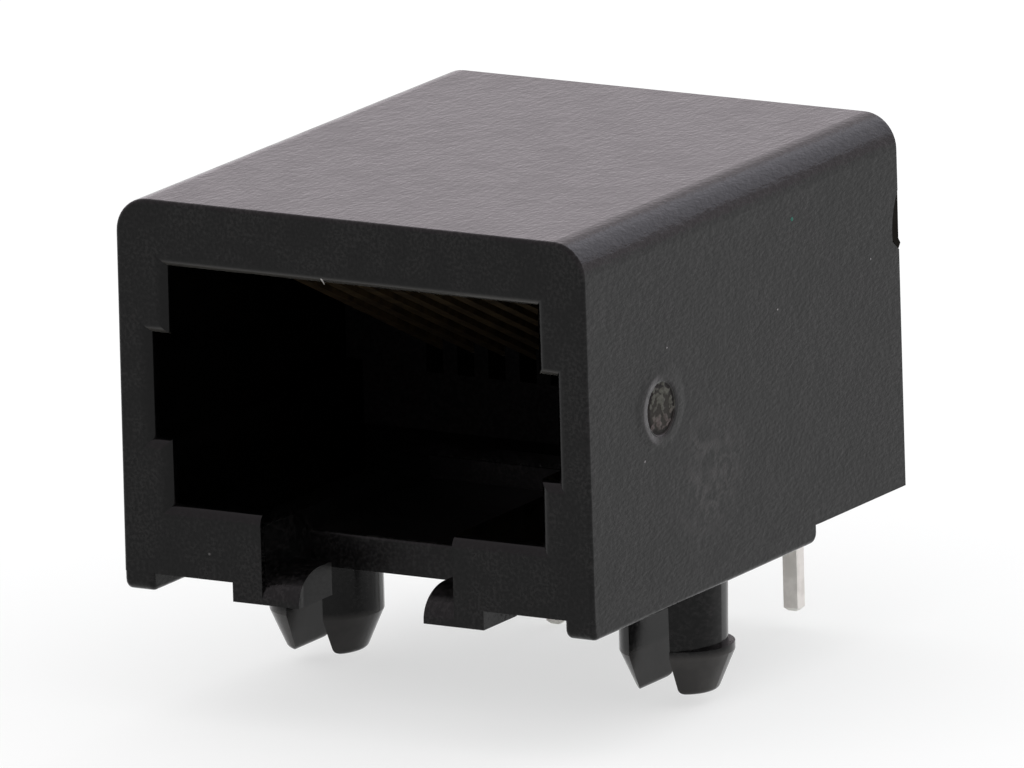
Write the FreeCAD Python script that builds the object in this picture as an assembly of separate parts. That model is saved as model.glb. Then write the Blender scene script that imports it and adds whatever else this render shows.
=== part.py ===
import FreeCAD, Part
import math
import os

# Right-angle board jack for an eight-contact modular plug, latch side down. Millimetres.
# The origin lies on the board's upper face, in the plane of the jack's front face and midway
# between its side walls. X runs to the right seen from the front, Y back into the jack, Z up.

# Outer form of the housing
side_wall = 1.67            # beside the plug, at the board end
top_wall = 1.91             # over the plug
rear_edge = 0.99            # rear row of tails to the housing's rear edge
standoff = 0.55             # board face to underside
side_lean = 0.05            # how far each side wall leans in towards the top
top_edge_radius = 1.0       # long upper edges
front_edge_radius = 0.12    # upright front edges

# Rails below the side walls
rail_width = 0.88
rail_length = 12.8
rail_inset = 0.07           # wall face in to the rail's outer face at the rear, nothing at the front
rail_ledge_rise = 0.25      # height of the ledge over the rail's outer face at the front
rail_corner_radius = 0.3    # front and rear lower corners
rail_edge_radius = 0.15     # long lower edges

# Plug window and cavity
plug_width = 11.9
plug_height = 6.82
plug_depth = 10.6           # front face to the carrier, which stops the plug
floor_thickness = 2.07      # underside to cavity floor
side_notch_depth = 0.57     # wider middle part of the window, each side
side_notch_height = 2.98
side_notch_rise = 1.88      # cavity floor to the notch
window_rounding = 0.34      # edge of the window

# Latch slot below the window
latch_width = 6.22          # slot for the latch's shoulders
latch_gap = 4.04            # between the two catches
latch_length = 9.4          # front face to the end of the slot
latch_gap_shift = 0.1       # middle of that gap, right of the jack's middle plane
catch_height = 0.97         # board face to the top of a catch
catch_depth = 1.83
catch_nose_height = 0.87    # the nose is a quarter of an ellipse
catch_nose_depth = 1.2
catch_foot_width = 0.96     # foot beside the slot, outward of its wall
port_depth = 2.72           # opening through the floor, round and behind the catches
slot_floor = 1.02           # floor thickness behind the port
slot_step_radius = 0.1      # edge where the slot's floor drops to the port

# Snap-in pegs, each split into an outer and an inner half
peg_spacing = 11.43
peg_y = 7.87
peg_length = 3.27           # below the board face
peg_radius = 1.63           # inner half
peg_tip_radius = 1.12       # inner half
peg_root_radius = 1.5       # outer half where it leaves the body
peg_neck_radius = 1.45      # outer half just above the barb
peg_barb_radius = 1.4
peg_barb_offset = 0.28      # barb's own centre, outward of the peg's centre
peg_barb_tip_radius = 0.9   # end of the outer half, about the barb's centre
peg_barb_top = 1.9          # below the board face
peg_barb_land = 0.22        # height of the barb's upright band
peg_tip_rounding = 0.2
peg_slot_width = 1.25
peg_slot_offset = 0.09      # slot centre, from the peg's centre towards the middle of the jack

# Contacts: eight bent wires of rectangular section
contact_count = 8
contact_width = 0.46
contact_thickness = 0.42
spring_pitch = 1.02
tail_pitch = 1.27
front_row_offset = 6.35     # peg centres to the front row of tails
rear_row_offset = 8.89      # peg centres to the rear row of tails
front_tail_length = 3.65    # below the board face
rear_tail_length = 3.2
tail_tip_chamfer = 0.1
tail_bend_radius = 0.6      # centre line
run_rise = 0.26             # top of the cavity to the underside of the upper run
nose_gap = 0.25             # window lip to the bend at the front
nose_radius = 0.36          # centre line
spring_root_setback = 0.5
spring_root_drop = 0.95
spring_bend_radius = 0.7    # centre line
spring_end_rise = 2.4       # cavity floor to the free end
spring_end_reach = 0.8      # free end past the carrier's front face
lip_depth = 2.1             # window lip in front of the contact grooves

# Contact grooves in the housing's top wall
groove_clearance = 0.05     # each side of a contact
run_headroom = 0.15         # upper run to the groove's ceiling

# Contact carrier, pushed in from the rear
rear_wall = 1.1             # side wall beside the carrier, at the board end
carrier_clearance = 0.04
carrier_setback = 0.05      # rear face inside the housing's rear edge
carrier_slot_clearance = 0.03
jog_front = 0.8             # carrier front face to the front of the fan-out
jog_rear = 1.02             # rear of the fan-out to the front row of tails
comb_depth = 1.4
comb_drop = 0.7             # free end to the bottom of its comb slot
comb_bridge = 0.6           # material between the comb slot and the upper run
tongue_height = 1.2
tongue_depth = 0.35
tongue_rise = 2.45          # underside to the tongue
lug_notch_height = 1.73     # notch in the side wall's rear edge
lug_notch_depth = 0.36
lug_notch_rise = 6.88       # underside to the bottom of the notch
lug_notch_heel = 0.29       # bottom of the notch to its deepest point
lug_notch_belly = 0.28      # depth of the notch two thirds of the way up
lug_clearance = 0.03
lug_recess = 0.01           # lug end inside the wall face
lug_flash = 0.11            # pointed flash at the lug's foot, proud of the rear edge
lug_flash_thickness = 0.2

# Moulding gate mark on the right wall
gate_y = 4.1
gate_rise = 5.25            # underside to the centre of the mark
gate_radius = 0.78
gate_recess = 0.06
gate_stub_radius = 0.6
gate_stub_height = 0.03     # over the bottom of the recess

# Levels and places that follow from the sizes above
body_width = plug_width + 2 * side_wall
body_depth = peg_y + rear_row_offset + rear_edge
cavity_floor = standoff + floor_thickness
cavity_top = cavity_floor + plug_height
body_height = cavity_top + top_wall
run_bottom = cavity_top + run_rise
run_middle = run_bottom + contact_thickness / 2
groove_top = run_bottom + contact_thickness + run_headroom
bay_half_width = body_width / 2 - rear_wall
carrier_half_width = bay_half_width - carrier_clearance
carrier_rear = body_depth - carrier_setback
front_row_y = peg_y + front_row_offset
rear_row_y = peg_y + rear_row_offset
jog_start = plug_depth + jog_front
jog_end = front_row_y - jog_rear
groove_width = contact_width + 2 * groove_clearance
carrier_slot_width = contact_width + 2 * carrier_slot_clearance

# Margins of the construction
outside = 2.0               # how far a cut reaches past the outer faces
overlap = 0.1               # how far one cut or boss reaches into the next
same_place = 1e-6           # points and levels closer than this are the same


def vector(x, y, z):
    return FreeCAD.Vector(x, y, z)


def box(x0, x1, y0, y1, z0, z1):
    return Part.makeBox(x1 - x0, y1 - y0, z1 - z0, vector(x0, y0, z0))


def mirrored(shape):
    """The same shape on the other side of the jack's middle plane."""
    return shape.mirror(vector(0, 0, 0), vector(1, 0, 0))


def both_sides(shape):
    return [shape, mirrored(shape)]


def side_prism(points, x0, x1):
    """A prism along X from a closed outline in the YZ plane."""
    outline = closed_wire([vector(x0, y, z) for y, z in points])
    return Part.Face(outline).extrude(vector(x1 - x0, 0, 0))


def closed_wire(points):
    return Part.makePolygon(points + points[:1])


def rounded_outline(corners, place):
    """A closed wire through corners (a, b, radius), with an arc where the radius isn't zero."""
    edges = []
    ends = []
    count = len(corners)
    for index in range(count):
        before = vector(corners[index - 1][0], corners[index - 1][1], 0)
        here = vector(corners[index][0], corners[index][1], 0)
        after = vector(corners[(index + 1) % count][0], corners[(index + 1) % count][1], 0)
        ends.append(corner_arc(before, here, after, corners[index][2]))
    for index in range(count):
        start, middle, end = ends[index]
        following = ends[(index + 1) % count][0]
        if middle is not None:
            edges.append(Part.Arc(place(start), place(middle), place(end)).toShape())
        if end.distanceToPoint(following) > same_place:
            edges.append(Part.makeLine(place(end), place(following)))
    return Part.Wire(edges)


def corner_arc(before, here, after, radius):
    """Start, middle and end of the arc that rounds a corner, or the corner itself."""
    inward = (before - here).normalize()
    outward = (after - here).normalize()
    if radius <= 0:
        return here, None, here
    half_angle = inward.getAngle(outward) / 2
    reach = radius / math.tan(half_angle)
    centre = here + (inward + outward).normalize() * (radius / math.sin(half_angle))
    middle = centre + (here - centre).normalize() * radius
    return here + inward * reach, middle, here + outward * reach


def in_side_plane(x):
    return lambda point: vector(x, point.x, point.y)


def in_front_plane(y):
    return lambda point: vector(point.x, y, point.y)


def fused(shapes):
    return shapes[0].multiFuse(shapes[1:]).removeSplitter()


def without(shape, tools):
    return shape.cut(tools).removeSplitter()


# The housing's outer block

def outer_block():
    """The body's front profile, with leaning sides and rounded upper edges, drawn back in depth."""
    half = body_width / 2
    top_half = half - side_lean
    corners = [(-half, standoff, 0), (half, standoff, 0),
               (top_half, body_height, top_edge_radius), (-top_half, body_height, top_edge_radius)]
    profile = rounded_outline(corners, in_front_plane(0))
    block = Part.Face(profile).extrude(vector(0, body_depth, 0))
    upright = [edge for edge in block.Edges if is_upright_front_edge(edge)]
    return block.makeFillet(front_edge_radius, upright)


def wall_face(rise):
    """Where a leaning side wall's outer face lies at a height over the underside."""
    return body_width / 2 - side_lean * rise / (body_height - standoff)


def is_upright_front_edge(edge):
    size = edge.BoundBox
    on_front = size.YMax < same_place
    straight = edge.Curve.TypeId == "Part::GeomLine"
    return on_front and straight and size.ZLength > body_height / 2


def rail_side():
    """What lies outward of the rail's outer face, which turns inward towards the rear."""
    outer = body_width / 2
    outline = closed_wire([vector(outer, 0, -outside), vector(outer + outside, 0, -outside),
                           vector(outer + outside, rail_length, -outside),
                           vector(outer - rail_inset, rail_length, -outside)])
    return Part.Face(outline).extrude(vector(0, 0, body_height))


def rail():
    """The foot along the right wall, as a side profile with rounded lower corners and edges."""
    corners = [(0, standoff, 0), (0, 0, rail_corner_radius),
               (rail_length, 0, rail_corner_radius), (rail_length, standoff, 0)]
    outer = body_width / 2
    profile = rounded_outline(corners, in_side_plane(outer - rail_inset - rail_width))
    foot = without(Part.Face(profile).extrude(vector(rail_width + rail_inset, 0, 0)), [rail_side()])
    long_edges = [edge for edge in foot.Edges if is_long_lower_edge(edge)]
    return foot.makeFillet(rail_edge_radius, long_edges)


def is_long_lower_edge(edge):
    size = edge.BoundBox
    return size.ZMax < same_place and size.YLength > rail_length / 2


def rail_face_cut():
    """Takes the wall back to the rail's outer face, under a ledge line that falls to the rear."""
    outline = [(-outside, -outside), (rail_length, -outside), (rail_length, standoff),
               (0, standoff + rail_ledge_rise), (-outside, standoff + rail_ledge_rise)]
    below_ledge = side_prism(outline, 0, body_width)
    return rail_side().common(below_ledge)


def gate_mark(body):
    """The round mark where the moulding's gate was cut off, on the right wall only."""
    along = vector(1, 0, 0)
    bottom = vector(wall_face(gate_rise) - gate_recess, gate_y, standoff + gate_rise)
    recess = Part.makeCylinder(gate_radius, outside, bottom, along)
    stub = Part.makeCylinder(gate_stub_radius, gate_recess + gate_stub_height,
                             bottom - along * gate_recess, along)
    return without(body, [recess]).fuse(stub).removeSplitter()


# The plug cavity and its window

def window_corners():
    half = plug_width / 2
    wide = half + side_notch_depth
    notch_bottom = cavity_floor + side_notch_rise
    notch_top = notch_bottom + side_notch_height
    return [(-half, cavity_floor), (half, cavity_floor), (half, notch_bottom), (wide, notch_bottom),
            (wide, notch_top), (half, notch_top), (half, cavity_top), (-half, cavity_top),
            (-half, notch_top), (-wide, notch_top), (-wide, notch_bottom), (-half, notch_bottom)]


def plug_cavity():
    """The cavity with a slab before the front face, which rounds the window's edge."""
    outline = closed_wire([vector(x, 0, z) for x, z in window_corners()])
    cavity = Part.Face(outline).extrude(vector(0, plug_depth + carrier_clearance, 0))
    half = body_width
    slab = box(-half, half, -outside, 0, standoff - outside, body_height + outside)
    tool = cavity.fuse(slab)
    rim = [edge for edge in tool.Edges if is_window_rim(edge)]
    return tool.makeFillet(window_rounding, rim)


def is_window_rim(edge):
    size = edge.BoundBox
    in_front_face = abs(size.YMin) < same_place and abs(size.YMax) < same_place
    return in_front_face and size.XMax < body_width / 2 and size.XMin > -body_width / 2


# The latch slot and its catches

def latch_slot():
    """The slot for the latch, open through the floor at the front."""
    high = standoff + slot_floor
    top = cavity_floor + overlap
    corners = [(-outside, -outside, 0), (port_depth, -outside, 0), (port_depth, high, slot_step_radius),
               (latch_length, high, 0), (latch_length, top, 0), (-outside, top, 0)]
    profile = rounded_outline(corners, in_side_plane(-latch_width / 2))
    return Part.Face(profile).extrude(vector(latch_width, 0, 0))


def catch():
    """The right catch, with a rounded nose where the latch rides over, let into the slot's wall."""
    x = latch_gap / 2
    nose_start = vector(x, 0, catch_height - catch_nose_height)
    nose_end = vector(x, catch_nose_depth, catch_height)
    rear_top = vector(x, catch_depth, catch_height)
    rear_foot = vector(x, catch_depth, 0)
    front_foot = vector(x, 0, 0)
    outline = Part.Wire([nose_curve(x, nose_start, nose_end), Part.makeLine(nose_end, rear_top),
                         Part.makeLine(rear_top, rear_foot), Part.makeLine(rear_foot, front_foot),
                         Part.makeLine(front_foot, nose_start)])
    width = (latch_width - latch_gap + catch_foot_width) / 2
    return Part.Face(outline).extrude(vector(width, 0, 0))


def nose_curve(x, start, end):
    """A quarter of an ellipse that starts upright and ends level."""
    centre = vector(x, end.y, start.z)
    along = vector(x, end.y - catch_nose_depth, start.z)
    above = vector(x, end.y, start.z + catch_nose_height)
    if catch_nose_depth >= catch_nose_height:
        ellipse = Part.Ellipse(along, above, centre)
        return Part.ArcOfEllipse(ellipse, 0, math.pi / 2).toShape()
    ellipse = Part.Ellipse(above, along, centre)
    return Part.ArcOfEllipse(ellipse, -math.pi / 2, 0).toShape()


def catch_foot():
    """The foot beside the slot, under the right catch's wall."""
    return box(latch_width / 2, latch_width / 2 + catch_foot_width, 0, catch_depth, 0, standoff)


def catches():
    hooks = both_sides(catch())
    for hook in hooks:
        hook.translate(vector(latch_gap_shift, 0, 0))
    return hooks + both_sides(catch_foot())


# Snap-in pegs

def turned_about(x, profile):
    """A body turned about an upright axis at x from (radius, z) points."""
    outline = closed_wire([vector(x + radius, 0, z) for radius, z in profile])
    return Part.Face(outline).revolve(vector(x, 0, 0), vector(0, 0, 1), 360)


def plain_half():
    """The inner half before it is split: a turned pin with a tapered end."""
    taper_start = -peg_barb_top - peg_barb_land
    return turned_about(0, [(0, standoff), (peg_radius, standoff), (peg_radius, taper_start),
                            (peg_tip_radius, -peg_length), (0, -peg_length)])


def barbed_half():
    """The outer half before it is split: a drafted neck over a barb that stands off outward."""
    neck = turned_about(0, [(0, standoff), (peg_root_radius, standoff),
                            (peg_neck_radius, -peg_barb_top), (0, -peg_barb_top)])
    land_end = -peg_barb_top - peg_barb_land
    barb = turned_about(peg_barb_offset, [(0, -peg_barb_top), (peg_barb_radius, -peg_barb_top),
                                          (peg_barb_radius, land_end),
                                          (peg_barb_tip_radius, -peg_length), (0, -peg_length)])
    return neck.fuse(barb)


def split_half(turned, side):
    """What a box leaves of a turned pin, with the rim of its end rounded."""
    half = turned.common(side)
    rim = [edge for edge in half.Edges if edge.BoundBox.ZMax < same_place - peg_length]
    return half.makeFillet(peg_tip_rounding, rim)


def peg():
    """The right peg: a barbed outer half and a plain inner half, either side of a slot."""
    slot_middle = -peg_slot_offset
    reach = peg_radius + outside
    bottom = -peg_length - outside
    outer_side = box(slot_middle + peg_slot_width / 2, reach, -reach, reach, bottom, standoff)
    inner_side = box(-reach, slot_middle - peg_slot_width / 2, -reach, reach, bottom, standoff)
    halves = [split_half(barbed_half(), outer_side), split_half(plain_half(), inner_side)]
    for half in halves:
        half.translate(vector(peg_spacing / 2, peg_y, 0))
    return halves


# Contact grooves and the carrier's bay

def spring_x(number):
    return (number - (contact_count + 1) / 2) * spring_pitch


def tail_x(number):
    return (number - (contact_count + 1) / 2) * tail_pitch


def contact_grooves():
    grooves = []
    for number in range(1, contact_count + 1):
        middle = spring_x(number)
        grooves.append(box(middle - groove_width / 2, middle + groove_width / 2,
                           lip_depth, plug_depth + outside, cavity_top - overlap, groove_top))
    return grooves


def carrier_bay():
    bay = box(-bay_half_width, bay_half_width, plug_depth, body_depth + outside, -outside, groove_top)
    tongue_bottom = standoff + tongue_rise - carrier_clearance
    tongue_top = tongue_bottom + tongue_height + 2 * carrier_clearance
    reach = bay_half_width + tongue_depth
    tongues = box(-reach, reach, plug_depth, body_depth + outside, tongue_bottom, tongue_top)
    return [bay, tongues]


def lug_bar(clearance, x0, x1):
    """A bar across the rear edge: the notch in a side wall, or the lug that lies in it."""
    bottom = standoff + lug_notch_rise + clearance
    top = standoff + lug_notch_rise + lug_notch_height - clearance
    foot = vector(x0, body_depth, bottom)
    heel = vector(x0, body_depth - lug_notch_depth + clearance, bottom + lug_notch_heel)
    belly = vector(x0, body_depth - lug_notch_belly + clearance, bottom + (top - bottom) * 2 / 3)
    head = vector(x0, body_depth, top)
    outline = Part.Wire([Part.makeLine(foot, heel), Part.Arc(heel, belly, head).toShape(),
                         Part.makeLine(head, foot)])
    return Part.Face(outline).extrude(vector(x1 - x0, 0, 0))


def housing():
    body = fused([outer_block()] + both_sides(rail()))
    body = without(body, both_sides(rail_face_cut()))
    body = without(body, [plug_cavity(), latch_slot()] + contact_grooves() + carrier_bay())
    body = without(body, both_sides(lug_bar(0, carrier_half_width, body_width)))
    pegs = peg() + [mirrored(half) for half in peg()]
    body = fused([body] + catches() + pegs)
    return gate_mark(body)


# The contact carrier

def tail_row(number):
    """The depth of a contact's tail and its length, rear and front row in turn from the right."""
    from_right = contact_count - number
    if from_right % 2 == 0:
        return rear_row_y, rear_tail_length
    return front_row_y, front_tail_length


def tail_slot(number):
    """The slot that a tail lies in, open to the rear, rounded over into the groove on top."""
    row_y, _ = tail_row(number)
    seat_y = row_y - contact_thickness / 2
    corners = [(seat_y, -outside, 0), (seat_y, run_bottom, tail_bend_radius - contact_thickness / 2),
               (jog_end, run_bottom, 0), (jog_end, body_height, 0), (body_depth + outside, body_height, 0),
               (body_depth + outside, -outside, 0)]
    left = tail_x(number) - carrier_slot_width / 2
    profile = rounded_outline(corners, in_side_plane(left))
    return Part.Face(profile).extrude(vector(carrier_slot_width, 0, 0))


def fan_out(number, width, z0, z1):
    """The slanting stretch between the tail's place and the spring's place, seen from above."""
    front = spring_x(number)
    rear = tail_x(number)
    half = width / 2
    outline = closed_wire([vector(front - half, jog_start, z0), vector(front + half, jog_start, z0),
                           vector(rear + half, jog_end, z0), vector(rear - half, jog_end, z0)])
    return Part.Face(outline).extrude(vector(0, 0, z1 - z0))


def run_groove(number):
    middle = spring_x(number)
    half = carrier_slot_width / 2
    return box(middle - half, middle + half, plug_depth - outside, jog_start, run_bottom, body_height)


def comb_slot(number):
    """The slot in the carrier's front face that guides a spring's free end."""
    middle = spring_x(number)
    half = groove_width / 2
    bottom = cavity_floor + spring_end_rise - comb_drop
    return box(middle - half, middle + half, plug_depth - outside, plug_depth + comb_depth,
               bottom, run_bottom - comb_bridge)


def lug():
    """The right lug, let into the carrier, with a point of flash at its foot."""
    lug_end = wall_face(lug_notch_rise + lug_notch_height) - lug_recess
    bar = lug_bar(lug_clearance, carrier_half_width - overlap, lug_end)
    foot = standoff + lug_notch_rise + lug_clearance
    heel = foot + lug_notch_heel
    flash_outline = [(body_depth, foot), (body_depth + lug_flash, (foot + heel) / 2),
                     (body_depth, heel), (body_depth - lug_notch_depth / 2, heel)]
    flash = side_prism(flash_outline, lug_end - lug_flash_thickness, lug_end)
    return bar.fuse(flash)


def contact_carrier():
    top = groove_top - carrier_clearance
    body = box(-carrier_half_width, carrier_half_width, plug_depth, carrier_rear, standoff, top)
    tongue_bottom = standoff + tongue_rise
    reach = carrier_half_width + tongue_depth
    tongues = box(-reach, reach, plug_depth, carrier_rear, tongue_bottom, tongue_bottom + tongue_height)
    body = fused([body, tongues] + both_sides(lug()))
    cuts = []
    for number in range(1, contact_count + 1):
        cuts.append(tail_slot(number))
        cuts.append(fan_out(number, carrier_slot_width, run_bottom, body_height))
        cuts.append(run_groove(number))
        cuts.append(comb_slot(number))
    return without(body, cuts)


# Contacts

def bent_strip(path, x, width):
    """A strip bent in the YZ plane along path (y, z, bend radius), its centre line at x."""
    half = contact_thickness / 2
    stations = []
    for index, (y, z, radius) in enumerate(path):
        here = vector(y, z, 0)
        if index in (0, len(path) - 1):
            stations.append((here, None, here))
        else:
            before = vector(path[index - 1][0], path[index - 1][1], 0)
            after = vector(path[index + 1][0], path[index + 1][1], 0)
            stations.append(corner_arc(before, here, after, radius))
    left = strip_side(stations, half)
    right = strip_side(stations, -half)
    place = in_side_plane(x - width / 2)
    edges = [placed_edge(points, place) for points in left + right]
    edges.append(Part.makeLine(place(left[0][0]), place(right[0][0])))
    edges.append(Part.makeLine(place(left[-1][-1]), place(right[-1][-1])))
    outline = Part.Wire(Part.__sortEdges__(edges))
    return Part.Face(outline).extrude(vector(width, 0, 0))


def strip_side(stations, offset):
    """One long side of a strip, as runs of two points and bends of three."""
    side = []
    for index in range(len(stations) - 1):
        start = stations[index][2]
        end = stations[index + 1][0]
        along = (end - start).normalize()
        across = vector(-along.y, along.x, 0) * offset
        side.append((start + across, end + across))
        bend = stations[index + 1]
        if bend[1] is not None:
            following = stations[index + 2][0]
            onward = (following - bend[2]).normalize()
            turned = vector(-onward.y, onward.x, 0) * offset
            between = (across + turned).normalize() * abs(offset)
            side.append((bend[0] + across, bend[1] + between, bend[2] + turned))
    return side


def placed_edge(points, place):
    if len(points) == 2:
        return Part.makeLine(place(points[0]), place(points[1]))
    return Part.Arc(place(points[0]), place(points[1]), place(points[2])).toShape()


def contact(number):
    row_y, tail_length = tail_row(number)
    tail_path = [(row_y, -tail_length, 0), (row_y, run_middle, tail_bend_radius), (jog_end, run_middle, 0)]
    tail = bent_strip(tail_path, tail_x(number), contact_width)
    tip = [edge for edge in tail.Edges if edge.BoundBox.ZMax < same_place - tail_length]
    tail = tail.makeChamfer(tail_tip_chamfer, tip)
    jog = fan_out(number, contact_width, run_bottom, run_bottom + contact_thickness)
    nose_y = lip_depth + nose_gap + contact_thickness / 2
    spring_path = [(jog_start, run_middle, 0), (nose_y, run_middle, nose_radius),
                   (nose_y + spring_root_setback, run_middle - spring_root_drop, spring_bend_radius),
                   (plug_depth + spring_end_reach, cavity_floor + spring_end_rise, 0)]
    spring = bent_strip(spring_path, spring_x(number), contact_width)
    return fused([tail, jog, spring])


def write(name, shape):
    solids = shape.Solids
    if len(solids) != 1 or not shape.isValid():
        print(name, "has", len(solids), "solids, valid:", shape.isValid())
    solids[0].exportStep("parts/" + name + ".step")
    size = shape.BoundBox
    print(name, "volume %.3f" % shape.Volume, "faces", len(shape.Faces),
          "X %.2f %.2f Y %.2f %.2f Z %.2f %.2f" % (size.XMin, size.XMax, size.YMin, size.YMax,
                                                  size.ZMin, size.ZMax))


os.makedirs("parts", exist_ok=True)
write("housing", housing())
write("contact_carrier", contact_carrier())
for number in range(1, contact_count + 1):
    write("contact_" + str(number), contact(number))
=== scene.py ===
import math
import random

import bmesh
import bpy
from mathutils import Matrix, Vector, noise


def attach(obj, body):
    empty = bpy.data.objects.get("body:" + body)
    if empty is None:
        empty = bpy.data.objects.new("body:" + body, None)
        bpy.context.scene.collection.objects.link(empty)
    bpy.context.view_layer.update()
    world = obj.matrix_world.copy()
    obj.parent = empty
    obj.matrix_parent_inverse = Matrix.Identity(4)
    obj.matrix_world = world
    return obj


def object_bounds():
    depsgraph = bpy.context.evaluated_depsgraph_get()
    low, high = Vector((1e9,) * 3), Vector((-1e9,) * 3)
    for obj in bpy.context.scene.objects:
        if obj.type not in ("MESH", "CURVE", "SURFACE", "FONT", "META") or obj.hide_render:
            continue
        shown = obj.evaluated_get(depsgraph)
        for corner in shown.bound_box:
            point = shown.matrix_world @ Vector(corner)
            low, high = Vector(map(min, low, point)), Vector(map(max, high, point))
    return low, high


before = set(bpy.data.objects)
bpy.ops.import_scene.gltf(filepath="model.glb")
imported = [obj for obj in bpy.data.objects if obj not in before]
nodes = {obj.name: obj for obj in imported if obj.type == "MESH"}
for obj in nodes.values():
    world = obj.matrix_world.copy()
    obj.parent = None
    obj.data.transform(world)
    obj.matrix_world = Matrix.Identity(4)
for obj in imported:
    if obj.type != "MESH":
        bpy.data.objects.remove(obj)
cad_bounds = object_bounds()
MM = 0.001

# The housing is one black moulding in glass-filled polyester, with its window, latch catches,
# rails and split pegs all in one. The mould's spark-eroded skin leaves a fine even grain, and the
# glass shows as paler mottles, and as flow marks that spread from the gate on the right wall.


def add(tree, kind, sockets=None, **options):
    """A shader node with its options set and its sockets given a value or a link."""
    node = tree.nodes.new(kind)
    for option, value in options.items():
        setattr(node, option, value)
    for name, value in (sockets or {}).items():
        if isinstance(value, bpy.types.NodeSocket):
            tree.links.new(value, node.inputs[name])
        else:
            node.inputs[name].default_value = value
    return node


def effect(name, inputs, outputs):
    """An empty node group with named sockets, and its own input and output sockets."""
    tree = bpy.data.node_groups.new(name, "ShaderNodeTree")
    for label, kind, usual in inputs:
        socket = tree.interface.new_socket(name=label, in_out="INPUT", socket_type=kind)
        socket.default_value = usual
    for label, kind in outputs:
        tree.interface.new_socket(name=label, in_out="OUTPUT", socket_type=kind)
    return tree, add(tree, "NodeGroupInput").outputs, add(tree, "NodeGroupOutput").inputs


def math_of(tree, operation, first, second=0.0, clamp=False):
    return add(tree, "ShaderNodeMath", {0: first, 1: second}, operation=operation, use_clamp=clamp).outputs[0]


def ramp(tree, value, low, high):
    """Nought at low and one at high, eased between them."""
    sockets = {"Value": value, "From Min": low, "From Max": high}
    return add(tree, "ShaderNodeMapRange", sockets, interpolation_type="SMOOTHSTEP").outputs[0]


def blend(tree, share, first, second):
    """One colour laid over another by a share."""
    mix = add(tree, "ShaderNodeMix", data_type="RGBA")
    for socket, value in ((mix.inputs["Factor"], share), (mix.inputs[6], first), (mix.inputs[7], second)):
        if isinstance(value, bpy.types.NodeSocket):
            tree.links.new(value, socket)
        else:
            socket.default_value = value
    return mix.outputs[2]


def new_material(name):
    """A material with a lone Principled shader."""
    material = bpy.data.materials.new(name)
    material.use_nodes = True
    return material, material.node_tree, material.node_tree.nodes["Principled BSDF"]


def dress(piece, material):
    piece.data.materials.clear()
    piece.data.materials.append(material)


def link_all(tree, shader, links):
    for name, value in links.items():
        tree.links.new(value, shader.inputs[name])


def object_place(tree):
    return add(tree, "ShaderNodeTexCoord").outputs["Object"]


def axes_of(tree, place):
    return add(tree, "ShaderNodeSeparateXYZ", {0: place}).outputs


def distance(tree, place, spot):
    """How far a place lies from a spot."""
    return add(tree, "ShaderNodeVectorMath", {0: place, 1: spot}, operation="DISTANCE").outputs["Value"]


def spread(tree, value, low, high):
    """A share drawn out to lie between two values."""
    return add(tree, "ShaderNodeMapRange", {"Value": value, "To Min": low, "To Max": high}).outputs[0]


def bumps(tree, height, depth):
    return add(tree, "ShaderNodeBump", {"Height": height, "Distance": depth}).outputs[0]


grain_draw = (1.0, 0.45, 1.0)       # the grain is drawn out along the jack
clump_scale = 0.35                  # clumps of grain, against the grain itself
clump_share = 0.6

moulded_skin, given, result = effect(
    "moulded_skin",
    [("Position", "NodeSocketVector", (0, 0, 0)), ("Grain Size", "NodeSocketFloat", 0.1 * MM),
     ("Mottle Size", "NodeSocketFloat", 1.3 * MM), ("Dark", "NodeSocketColor", (0.0004, 0.0004, 0.0004, 1)),
     ("Pale", "NodeSocketColor", (0.0080, 0.0079, 0.0077, 1))],
    [("Color", "NodeSocketColor"), ("Shade", "NodeSocketFloat"), ("Mottle", "NodeSocketFloat"),
     ("Relief", "NodeSocketFloat")])
drawn_out = add(moulded_skin, "ShaderNodeVectorMath", {0: given["Position"], 1: grain_draw},
                operation="MULTIPLY").outputs[0]
fine = add(moulded_skin, "ShaderNodeTexNoise",
           {"Vector": drawn_out, "Scale": math_of(moulded_skin, "DIVIDE", 1.0, given["Grain Size"]),
            "Detail": 2.0, "Roughness": 0.6})
clumps = add(moulded_skin, "ShaderNodeTexNoise",
             {"Vector": drawn_out, "Scale": math_of(moulded_skin, "DIVIDE", clump_scale, given["Grain Size"]),
              "Detail": 1.0})
broad = add(moulded_skin, "ShaderNodeTexNoise",
            {"Vector": given["Position"], "Scale": math_of(moulded_skin, "DIVIDE", 1.0, given["Mottle Size"]),
             "Detail": 4.0, "Roughness": 0.6})
shade = ramp(moulded_skin, fine.outputs[0], 0.36, 0.74)
mottle = ramp(moulded_skin, broad.outputs[0], 0.35, 0.65)
paleness = math_of(moulded_skin, "MULTIPLY", shade, math_of(moulded_skin, "ADD", 0.45, mottle))
moulded_skin.links.new(blend(moulded_skin, paleness, given["Dark"], given["Pale"]), result["Color"])
moulded_skin.links.new(shade, result["Shade"])
moulded_skin.links.new(mottle, result["Mottle"])
lumps = math_of(moulded_skin, "MULTIPLY", clumps.outputs[0], clump_share)
moulded_skin.links.new(math_of(moulded_skin, "ADD", fine.outputs[0], lumps), result["Relief"])


def skin_at(tree, place, sizes=None):
    """The moulded skin at a place, in its usual sizes or other ones."""
    return add(tree, "ShaderNodeGroup", {"Position": place, **(sizes or {})}, node_tree=moulded_skin).outputs


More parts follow.
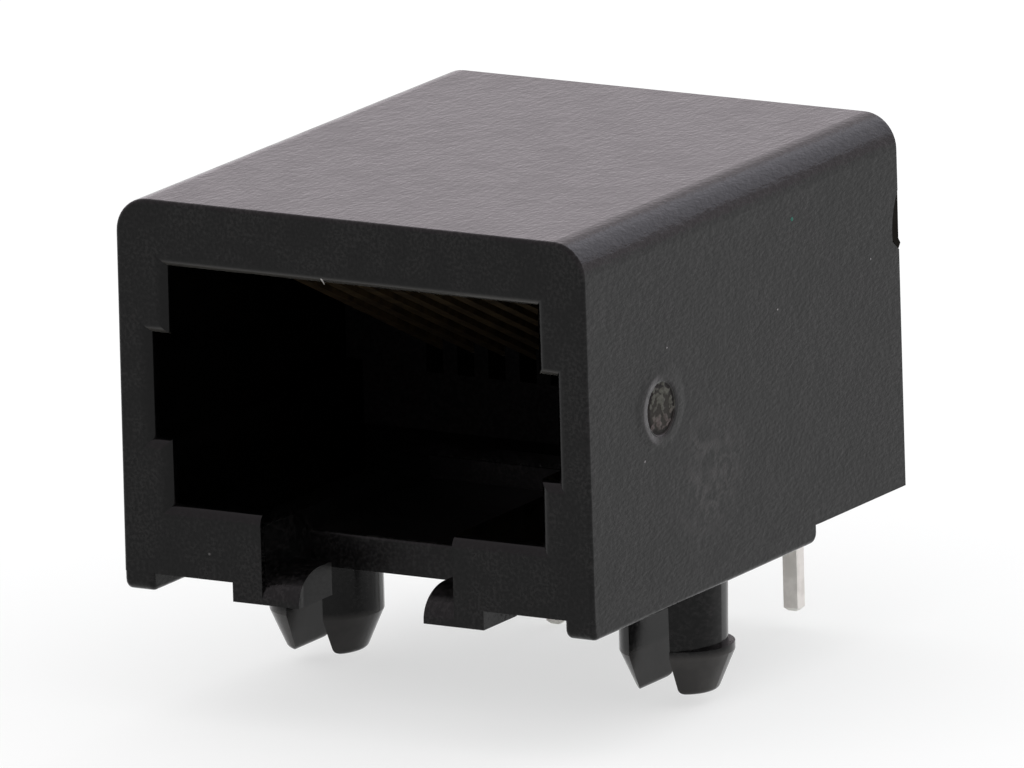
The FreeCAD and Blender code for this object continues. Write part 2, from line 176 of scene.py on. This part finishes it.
skin_relief = 0.014 * MM
skin_specular = 0.17
skin_gloss = (0.11, 0.2)
wall_start = 7.3 * MM               # across the jack, where the right wall's own marks begin
wall_full = 7.5 * MM
gate_x = 7.6 * MM
gate_y = 4.1 * MM
gate_z = 5.8 * MM
gate_halo_inner = 0.7 * MM
gate_halo_outer = 2.1 * MM
gate_halo_share = 0.55
gate_halo_colour = (0.0008, 0.0009, 0.0012, 1)
flow_centre = Vector((7.6, 6.6, 3.4)) * MM
flow_core = 0.6 * MM
flow_reach = 2.6 * MM
flow_swirl = 0.9 * MM
flow_colour = (0.018, 0.017, 0.0168, 1)
window_half = 5.95 * MM
window_floor = 2.62 * MM
window_top = 9.44 * MM
notch_half = 6.52 * MM
notch_floor = 4.5 * MM
notch_top = 7.48 * MM
polish_shade_reach = 0.5 * MM             # outward from the window's edge
polish_shade_full = 0.05 * MM
polish_shade_share = 0.85
painted_shade_colour = (0.0002, 0.0002, 0.0002, 1)
cavity_end = 16.0 * MM              # the polish and its painted shade fade from here on
cavity_past = 17.0 * MM             # and is gone here
port_half = 3.13 * MM
port_floor = -1.0 * MM
port_top = 2.2 * MM
port_edge = 0.05 * MM
port_start = 0.1 * MM
port_full = 0.3 * MM
port_gloss = 0.34
port_smoothed = 0.9
lip_full = 0.3 * MM                 # into the window
lip_end = 0.36 * MM
lip_lowest = 2.2 * MM
lip_full_height = 2.4 * MM
lip_highlight_share = 0.9
lip_highlight_colour = (0.034, 0.033, 0.030, 1)
peg_sheen_top = -1.9 * MM
peg_sheen_full = -2.15 * MM
peg_sheen_dark = (0.029, 0.0285, 0.027, 1)
peg_sheen_pale = (0.040, 0.0395, 0.037, 1)
peg_smooth_full = -0.25 * MM        # below the board face, where only the pegs are
peg_smoothed = 0.85
fleck_spot = (-4.8 * MM, 0.0, 1.3 * MM)
fleck_core = 0.02 * MM
fleck_edge = 0.05 * MM
fleck_colour = (0.06, 0.06, 0.058, 1)

housing = nodes["housing"]
housing_plastic, tree, shader = new_material("housing_plastic")
place = object_place(tree)
grain = skin_at(tree, place)
axes = axes_of(tree, place)
facing = axes_of(tree, add(tree, "ShaderNodeNewGeometry").outputs["Normal"])

colour = grain["Color"]

on_right_wall = ramp(tree, axes["X"], wall_start, wall_full)
from_gate = distance(tree, place, (gate_x, gate_y, gate_z))
halo = math_of(tree, "MULTIPLY", ramp(tree, from_gate, gate_halo_outer, gate_halo_inner), on_right_wall)
colour = blend(tree, math_of(tree, "MULTIPLY", halo, gate_halo_share), colour, gate_halo_colour)

swirl = add(tree, "ShaderNodeTexNoise",
            {"Vector": place, "Scale": 1 / flow_swirl, "Detail": 3.0, "Distortion": 2.4})
flow = math_of(tree, "MULTIPLY", ramp(tree, distance(tree, place, flow_centre), flow_reach, flow_core),
               ramp(tree, swirl.outputs[0], 0.42, 0.62))
flow = math_of(tree, "MULTIPLY", flow, on_right_wall)
colour = blend(tree, flow, colour, flow_colour)

# The polished core left the cavity and the lead-in round the window smoother; the colour there is darkened as
# painted shade.
across = math_of(tree, "ABSOLUTE", axes["X"])


def past_opening(half_width, low, high):
    """How far a spot lies outside one rectangle of the front view, less than nought inside it."""
    rise = math_of(tree, "SUBTRACT", axes["Z"], (low + high) / 2)
    beside_it = math_of(tree, "SUBTRACT", across, half_width)
    over_it = math_of(tree, "SUBTRACT", math_of(tree, "ABSOLUTE", rise), (high - low) / 2)
    return math_of(tree, "MAXIMUM", beside_it, over_it)


window_edge = math_of(tree, "MINIMUM", past_opening(window_half, window_floor, window_top),
                      past_opening(notch_half, notch_floor, notch_top))
polish_and_shade = ramp(tree, window_edge, polish_shade_reach, polish_shade_full)
polish_and_shade = math_of(tree, "MULTIPLY", polish_and_shade, ramp(tree, axes["Y"], cavity_past, cavity_end))
port_edges = past_opening(port_half, port_floor, port_top)
in_port = math_of(tree, "MULTIPLY", ramp(tree, port_edges, port_edge, 0.0),
                  ramp(tree, axes["Y"], port_start, port_full))
# painted shade: darker colour round the window's edge and in the cavity
colour = blend(tree, math_of(tree, "MULTIPLY", polish_and_shade, polish_shade_share), colour, painted_shade_colour)

# Paler skin painted on the window's down-facing upper edges, a painted highlight, and on the pegs' tapered
# ends, a painted reflection of the floor below them.
at_window = ramp(tree, axes["Y"], lip_end, lip_full)
overhang = ramp(tree, facing["Z"], -0.25, -0.7)
above_latch = ramp(tree, axes["Z"], lip_lowest, lip_full_height)
painted_lip_highlight = math_of(tree, "MULTIPLY", math_of(tree, "MULTIPLY", at_window, overhang), above_latch)
# painted highlight on the window's overhanging upper edge
colour = blend(tree, math_of(tree, "MULTIPLY", painted_lip_highlight, lip_highlight_share), colour, lip_highlight_colour)
# painted reflection of the floor: the pegs' tapered ends are paler
peg_sheen = ramp(tree, axes["Z"], peg_sheen_top, peg_sheen_full)
colour = blend(tree, peg_sheen, colour, blend(tree, grain["Mottle"], peg_sheen_dark, peg_sheen_pale))

fleck = ramp(tree, distance(tree, place, fleck_spot), fleck_edge, fleck_core)
colour = blend(tree, fleck, colour, fleck_colour)

# The relief fades in the polished places, in the port and on the pegs.
gloss = math_of(tree, "MAXIMUM", spread(tree, grain["Mottle"], *skin_gloss),
                math_of(tree, "MULTIPLY", in_port, port_gloss))
smoothed = math_of(tree, "MAXIMUM", polish_and_shade, math_of(tree, "MULTIPLY", in_port, port_smoothed))
on_peg = ramp(tree, axes["Z"], 0.0, peg_smooth_full)
smoothed = math_of(tree, "MAXIMUM", smoothed, math_of(tree, "MULTIPLY", on_peg, peg_smoothed))
height = math_of(tree, "MULTIPLY", grain["Relief"], math_of(tree, "SUBTRACT", 1.0, smoothed))
shader.inputs["Specular IOR Level"].default_value = skin_specular
link_all(tree, shader, {"Base Color": colour, "Roughness": gloss, "Normal": bumps(tree, height, skin_relief)})
dress(housing, housing_plastic)

# The gate scar is where the runner was torn off the right wall. The glass-filled plastic has
# broken rough there, dark in its pits and paler on its torn crests. A low rim stands round it, and
# on the front side it slopes down into the scar.

scar_torn_radius = 0.76 * MM
scar_rings = 44
scar_sectors = 96
scar_crumb = 0.19 * MM
scar_floor = -0.027 * MM
scar_pit_floor = -0.054 * MM
scar_pit_start = 0.6 * MM
scar_crest = 0.004 * MM             # highest torn spots
bank_start = 0.79 * MM              # where the torn surface climbs to the rim
bank_foot = 0.002 * MM
rim_height = 0.016 * MM
rim_radius = 0.85 * MM
rim_pushed_front = 0.2 * MM
rim_pushed_rear = 0.06 * MM
rim_fall = 0.55 * MM
rim_sunk = -0.004 * MM
rim_raggedness = 0.04 * MM


def on_housing(start, direction):
    """The point on the housing's skin that a line from outside meets."""
    hit, point = housing.ray_cast(start, direction)[:2]
    if not hit:
        raise RuntimeError("no housing there")
    return point


def eased(value, low, high):
    share = min(max((value - low) / (high - low), 0.0), 1.0)
    return share * share * (3 - 2 * share)


front_side = Vector((0, 1, 0))
right_side = Vector((-1, 0, 0))
beside = 12 * MM                    # well clear of the part
clear_of_gate = 1.2 * MM
wall_by_gate = on_housing(Vector((beside, gate_y - clear_of_gate, gate_z)), right_side).x


def torn_height(y, z, reach):
    """The torn surface's height over the wall, with its deepest pits near the edge."""
    spot = Vector((y * 0.8, z, 0)) / scar_crumb
    crest = noise.turbulence(spot, 3, False, noise_basis="PERLIN_ORIGINAL")
    lump = noise.noise(spot * 0.4 + Vector((3.1, 1.7, 0)))
    share = min(max(0.1 + 1.1 * crest + 0.5 * lump, 0.0), 1.0)
    lowest = scar_floor + (scar_pit_floor - scar_floor) * eased(reach, scar_pit_start, scar_torn_radius)
    return lowest + (scar_crest - lowest) * share


def gate_height(y, z, rim):
    """The height over the wall of the scar, its rim and the slope outside the rim."""
    reach = math.hypot(y, z)
    if reach > rim:
        return rim_height + (rim_sunk - rim_height) * eased(reach, rim, rim + rim_fall)
    banked = bank_foot + (rim_height - bank_foot) * eased(reach, bank_start, rim)
    torn = eased(reach, bank_start, scar_torn_radius * 0.96)
    return banked + (torn_height(y, z, reach) - banked) * torn


def gate_mesh():
    mesh = bmesh.new()
    centre = mesh.verts.new((wall_by_gate + torn_height(0, 0, 0), gate_y, gate_z))
    rings = []
    for ring in range(1, scar_rings + 1):
        verts = []
        for sector in range(scar_sectors):
            turn = 2 * math.pi * sector / scar_sectors
            ragged = noise.noise(Vector((3 * math.cos(turn), 3 * math.sin(turn), 9.0)))
            pushed = rim_pushed_front if math.cos(turn) < 0 else rim_pushed_rear
            rim = rim_radius + pushed * math.cos(turn) ** 2 + rim_raggedness * ragged
            reach = (rim + rim_fall) * ring / scar_rings
            y = reach * math.cos(turn)
            z = reach * math.sin(turn)
            verts.append(mesh.verts.new((wall_by_gate + gate_height(y, z, rim), gate_y + y, gate_z + z)))
        rings.append(verts)
    for sector in range(scar_sectors):
        following = (sector + 1) % scar_sectors
        mesh.faces.new((centre, rings[0][sector], rings[0][following]))
        for inner, outer in zip(rings, rings[1:]):
            mesh.faces.new((inner[sector], outer[sector], outer[following], inner[following]))
    return mesh


def as_piece(name, mesh, material):
    """A finished, smooth piece from a bmesh, riding with the body."""
    data = bpy.data.meshes.new(name)
    mesh.normal_update()
    mesh.to_mesh(data)
    mesh.free()
    for face in data.polygons:
        face.use_smooth = True
    piece = bpy.data.objects.new(name, data)
    bpy.context.scene.collection.objects.link(piece)
    dress(piece, material)
    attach(piece, "root")


crest_low = -0.0265 * MM            # against the wall
crest_high = -0.019 * MM
torn_sizes = {"Grain Size": 0.09 * MM, "Mottle Size": 0.5 * MM}
torn_gloss = (0.16, 0.6)
crest_upper = (0.058, 0.060, 0.048, 1)
crest_lower = (0.068, 0.056, 0.052, 1)
pit_middle = (0.013, 0.0115, 0.008, 1)
pit_edge = (0.0025, 0.0014, 0.0004, 1)
pit_start = 0.5 * MM                # from the scar's centre
pit_end = 0.68 * MM
rim_highlight_colour = (0.060, 0.059, 0.060, 1)
rim_highlight_inner = 0.92 * MM
rim_highlight_outer = 1.06 * MM
rim_highlight_rest = 0.12                # on the rim's rear side

torn_plastic, tree, shader = new_material("torn_plastic")
place = object_place(tree)
grain = skin_at(tree, place)
crumbs = skin_at(tree, place, torn_sizes)
axes = axes_of(tree, place)
from_gate = distance(tree, place, (wall_by_gate, gate_y, gate_z))
crest = ramp(tree, axes["X"], wall_by_gate + crest_low, wall_by_gate + crest_high)
low_half = ramp(tree, axes["Z"], gate_z, gate_z - 0.35 * MM)
crests = blend(tree, low_half, crest_upper, crest_lower)
pits = blend(tree, ramp(tree, from_gate, pit_start, pit_end), pit_middle, pit_edge)
crumbled = math_of(tree, "MULTIPLY", crest, math_of(tree, "ADD", 0.5, crumbs["Shade"], True))
torn = blend(tree, crumbled, pits, crests)
front_half = ramp(tree, axes["Y"], gate_y + 0.1 * MM, gate_y - 0.5 * MM)
# painted highlight: the rim round the scar is paler, most on its front half
rim_highlight = math_of(tree, "MULTIPLY", ramp(tree, from_gate, rim_highlight_outer, rim_highlight_inner),
                   math_of(tree, "ADD", rim_highlight_rest, front_half, True))
rim_highlight = math_of(tree, "MULTIPLY", rim_highlight, math_of(tree, "ADD", 0.4, crumbs["Mottle"], True))
around = blend(tree, rim_highlight, grain["Color"], rim_highlight_colour)
in_scar = ramp(tree, from_gate, scar_torn_radius * 1.04, scar_torn_radius * 0.96)
shader.inputs["Specular IOR Level"].default_value = skin_specular
link_all(tree, shader, {"Base Color": blend(tree, in_scar, around, torn),
                        "Roughness": spread(tree, in_scar, *torn_gloss),
                        "Normal": bumps(tree, grain["Relief"], skin_relief)})
as_piece("gate_scar", gate_mesh(), torn_plastic)

# The contact carrier is a second black moulding, pushed in from the rear. It is duller than the housing, and
# its colour is painted blacker, painted shade for the inside of the cavity, and browner where its lug was
# broken off the runner in the right wall's notch.

carrier_sizes = {"Grain Size": 0.12 * MM, "Mottle Size": 1.5 * MM}
carrier_relief = 0.006 * MM
carrier_specular = 0.05
carrier_gloss = (0.6, 0.75)
# painted shade: the carrier's colours are kept blacker than the housing's
carrier_shade_dark = (0.0004, 0.0004, 0.0004, 1)
carrier_shade_pale = (0.0032, 0.0031, 0.0030, 1)
lug_start = 7.2 * MM
lug_full = 7.4 * MM
lug_colour = (0.0036, 0.0028, 0.0012, 1)

carrier_plastic, tree, shader = new_material("carrier_plastic")
place = object_place(tree)
grain = skin_at(tree, place, carrier_sizes)
colour = blend(tree, grain["Shade"], carrier_shade_dark, carrier_shade_pale)
at_lug = ramp(tree, math_of(tree, "ABSOLUTE", axes_of(tree, place)["X"]), lug_start, lug_full)
colour = blend(tree, at_lug, colour, lug_colour)
shader.inputs["Specular IOR Level"].default_value = carrier_specular
link_all(tree, shader, {"Base Color": colour, "Roughness": spread(tree, grain["Mottle"], *carrier_gloss),
                        "Normal": bumps(tree, grain["Relief"], carrier_relief)})
dress(nodes["contact_carrier"], carrier_plastic)

# The eight contacts are drawn phosphor bronze wire. Matt tin covers them from the tails up to the
# bend over the carrier, and thin gold covers the sprung ends over the plug; the gold is painted nearly black,
# painted shade of the cavity round it.

drawing_stretch = (1.0, 0.06, 0.06)
cloud_size = 0.35 * MM

wire_finish, given, result = effect(
    "wire_finish",
    [("Position", "NodeSocketVector", (0, 0, 0)), ("Drawing Width", "NodeSocketFloat", 0.03 * MM)],
    [("Drawing", "NodeSocketFloat"), ("Cloud", "NodeSocketFloat")])
stretched = add(wire_finish, "ShaderNodeVectorMath", {0: given["Position"], 1: drawing_stretch},
                operation="MULTIPLY").outputs[0]
drawing_scale = math_of(wire_finish, "DIVIDE", 1.0, given["Drawing Width"])
lines = add(wire_finish, "ShaderNodeTexNoise", {"Vector": stretched, "Scale": drawing_scale, "Detail": 2.0})
cloud = add(wire_finish, "ShaderNodeTexNoise",
            {"Vector": given["Position"], "Scale": 1 / cloud_size, "Detail": 3.0})
wire_finish.links.new(lines.outputs[0], result["Drawing"])
wire_finish.links.new(ramp(wire_finish, cloud.outputs[0], 0.35, 0.65), result["Cloud"])

gold_start = 11.6 * MM
gold_end = 11.2 * MM
tin_dull = (0.70, 0.69, 0.645, 1)
tin_bright = (0.80, 0.79, 0.745, 1)
# painted shade: the gold's colours are kept nearly black
shaded_gold_dark = (0.018, 0.012, 0.006, 1)
shaded_gold_pale = (0.040, 0.027, 0.012, 1)
wire_gloss = (0.48, 0.66)
wire_relief = 0.003 * MM
wire_metallic = 0.3
wire_specular = 0.2

contact_metal, tree, shader = new_material("contact_metal")
place = object_place(tree)
finish = add(tree, "ShaderNodeGroup", {"Position": place}, node_tree=wire_finish).outputs
tin = blend(tree, finish["Cloud"], tin_dull, tin_bright)
shaded_gold = blend(tree, finish["Cloud"], shaded_gold_dark, shaded_gold_pale)
colour = blend(tree, ramp(tree, axes_of(tree, place)["Y"], gold_start, gold_end), tin, shaded_gold)
shader.inputs["Metallic"].default_value = wire_metallic
shader.inputs["Specular IOR Level"].default_value = wire_specular
link_all(tree, shader, {"Base Color": colour, "Roughness": spread(tree, finish["Drawing"], *wire_gloss),
                        "Normal": bumps(tree, finish["Drawing"], wire_relief)})
for number in range(1, 9):
    dress(nodes["contact_" + str(number)], contact_metal)

# Flash and dust: two whiskers of flash hang from the window's upper edge. A few pale specks and
# one green one lie on the right wall, as the jack came out of its bag.

whisker_root = 9.62 * MM            # on the window's upper edge
whisker_steps = 5
whisker_taper = 0.75
whisker_start = 0.04 * MM           # into the window
whisker_curl = 0.03 * MM


def whisker_mesh(x, length, thickness, lean):
    """A curled sliver that hangs from the window's upper edge."""
    mesh = bmesh.new()
    rows = []
    root = on_housing(Vector((x, -beside, whisker_root)), front_side)
    for step in range(whisker_steps + 1):
        share = step / whisker_steps
        inward = whisker_start + whisker_curl * share
        middle = root + Vector((lean * length * share, inward, -length * share))
        half = thickness / 2 * (1 - whisker_taper * share)
        row = []
        for corner in range(4):
            turn = math.pi / 4 + corner * math.pi / 2
            row.append(mesh.verts.new(middle + Vector((half * math.cos(turn), half * math.sin(turn), 0))))
        rows.append(row)
    for here, following in zip(rows, rows[1:]):
        for corner in range(4):
            onward = (corner + 1) % 4
            mesh.faces.new((here[corner], here[onward], following[onward], following[corner]))
    mesh.faces.new(rows[0][::-1])
    mesh.faces.new(rows[-1])
    return mesh


def plain_material(name, sizes, part, colours, roughness):
    """A material whose two colours follow one part of the moulded skin."""
    material, tree, shader = new_material(name)
    skin = skin_at(tree, object_place(tree), sizes)
    shader.inputs["Roughness"].default_value = roughness
    link_all(tree, shader, {"Base Color": blend(tree, skin[part], *colours)})
    return material


flash_sizes = {"Grain Size": 0.03 * MM, "Mottle Size": 0.1 * MM}
flash_colours = ((0.16, 0.16, 0.15, 1), (0.42, 0.42, 0.40, 1))

pale_flash = plain_material("pale_flash", flash_sizes, "Mottle", flash_colours, 0.6)
long_whisker = whisker_mesh(-0.95 * MM, 0.2 * MM, 0.08 * MM, 0.5)
as_piece("flash_whisker_1", long_whisker, pale_flash)
short_whisker = whisker_mesh(-1.87 * MM, 0.08 * MM, 0.03 * MM, -0.2)
as_piece("flash_whisker_2", short_whisker, pale_flash)

dust_radius = 0.05 * MM
green_radius = 0.1 * MM
dust_thickness = 0.011 * MM
dust_sizes = {"Grain Size": 0.02 * MM, "Mottle Size": 0.06 * MM}
dust_colours = ((0.16, 0.16, 0.16, 1), (0.30, 0.30, 0.29, 1))
green_colours = ((0.012, 0.085, 0.062, 1), (0.018, 0.130, 0.095, 1))
# Where the specks lie on the right wall: depth and height in millimetres.
wall_dust = [(16.1, 7.5), (4.5, 7.46), (4.34, 6.86), (3.1, 4.5), (10.75, 7.2)]
green_dust_place = [(11.7, 9.6)]


def dust_mesh(places, radius, seed):
    """Small irregular specks, each let into the right wall's skin."""
    chance = random.Random(seed)
    mesh = bmesh.new()
    for y, z in places:
        spot = on_housing(Vector((beside, y * MM, z * MM)), right_side)
        size = radius * chance.uniform(0.7, 1.0)
        made = bmesh.ops.create_icosphere(mesh, subdivisions=2, radius=size)
        stretch = Vector((dust_thickness / size, chance.uniform(0.8, 1.1), chance.uniform(0.7, 1.0)))
        for vert in made["verts"]:
            bumpy = 1 + 0.35 * noise.noise(vert.co / size * 1.3 + spot * 900)
            vert.co = vert.co * bumpy * stretch + spot
    return mesh


dust = plain_material("dust", dust_sizes, "Shade", dust_colours, 0.9)
as_piece("dust_specks", dust_mesh(wall_dust, dust_radius, 4), dust)
green_dust = plain_material("green_dust", dust_sizes, "Shade", green_colours, 0.9)
as_piece("green_speck", dust_mesh(green_dust_place, green_radius, 9), green_dust)

# The floor is a white sheet, level with the lowest tails, under an evenly white studio.

floor_size = 4.0
floor_gap = 0.02 * MM
floor_lift = 0.6
studio_tint = (1.09, 1.0, 1.055, 1)
studio_strength = 1.08
floor_colour = (0.915, 0.995, 0.945, 1)

bpy.ops.mesh.primitive_plane_add(size=floor_size, location=(0, 0, cad_bounds[0][2] - floor_gap))
floor = bpy.context.object
floor.name = "floor"
floor_paper = bpy.data.materials.new("floor_paper")
floor_paper.use_nodes = True
tree = floor_paper.node_tree
tree.nodes.clear()
light_path = add(tree, "ShaderNodeLightPath")
seen = math_of(tree, "MAXIMUM", light_path.outputs["Is Camera Ray"], light_path.outputs["Is Glossy Ray"])
seen = math_of(tree, "MAXIMUM", seen, light_path.outputs["Is Transmission Ray"])
paper = add(tree, "ShaderNodeBsdfDiffuse", {"Color": floor_colour})
white = add(tree, "ShaderNodeEmission", {"Color": (1, 1, 1, 1), "Strength": 1.0})
lifted = add(tree, "ShaderNodeMixShader", {0: math_of(tree, "MULTIPLY", seen, floor_lift),
                                           1: paper.outputs[0], 2: white.outputs[0]})
add(tree, "ShaderNodeOutputMaterial", {"Surface": lifted.outputs[0]})
floor.data.materials.append(floor_paper)

world = bpy.data.worlds.new("studio")
bpy.context.scene.world = world
world.use_nodes = True
background = world.node_tree.nodes["Background"]
background.inputs["Color"].default_value = studio_tint
background.inputs["Strength"].default_value = studio_strength

softbox_size = (0.28, 0.17)
softbox_power = 0.13
softbox_place = Vector((0.08, 0.34, 0.19))
softbox_colour = (0.80, 0.86, 1.0)

softbox = bpy.data.lights.new("softbox", "AREA")
softbox.shape = "RECTANGLE"
softbox.size, softbox.size_y = softbox_size
softbox.energy = softbox_power
softbox.color = softbox_colour
softbox_stand = bpy.data.objects.new("softbox", softbox)
softbox_stand.location = softbox_place
softbox_stand.rotation_euler = softbox_place.to_track_quat("Z", "Y").to_euler()
bpy.context.scene.collection.objects.link(softbox_stand)

# The camera stands where the photographer stood, to the right of the window and a little above.

view_turn = math.radians(30.501)
view_rise = math.radians(13.457)
view_roll = math.radians(-1.558)
view_distance = 0.7
view_target = Vector((5.195, 0.0, 7.18)) * MM
sensor_width = 36.0
focal_length = 885.4
far_clip = 20.0

back = Vector((math.sin(view_turn) * math.cos(view_rise), -math.cos(view_turn) * math.cos(view_rise),
               math.sin(view_rise)))
level_right = Vector((math.cos(view_turn), math.sin(view_turn), 0))
level_up = back.cross(level_right)
right = level_right * math.cos(view_roll) + level_up * math.sin(view_roll)
up = level_up * math.cos(view_roll) - level_right * math.sin(view_roll)
lens = bpy.data.cameras.new("camera")
lens.sensor_width = sensor_width
lens.lens = focal_length
lens.clip_end = far_clip
camera = bpy.data.objects.new("camera", lens)
camera.matrix_world = Matrix((
    (right.x, up.x, back.x, 0), (right.y, up.y, back.y, 0), (right.z, up.z, back.z, 0), (0, 0, 0, 1)))
camera.location = view_target + back * view_distance
bpy.context.scene.collection.objects.link(camera)
bpy.context.scene.camera = camera

bpy.context.scene.view_settings.view_transform = "Standard"
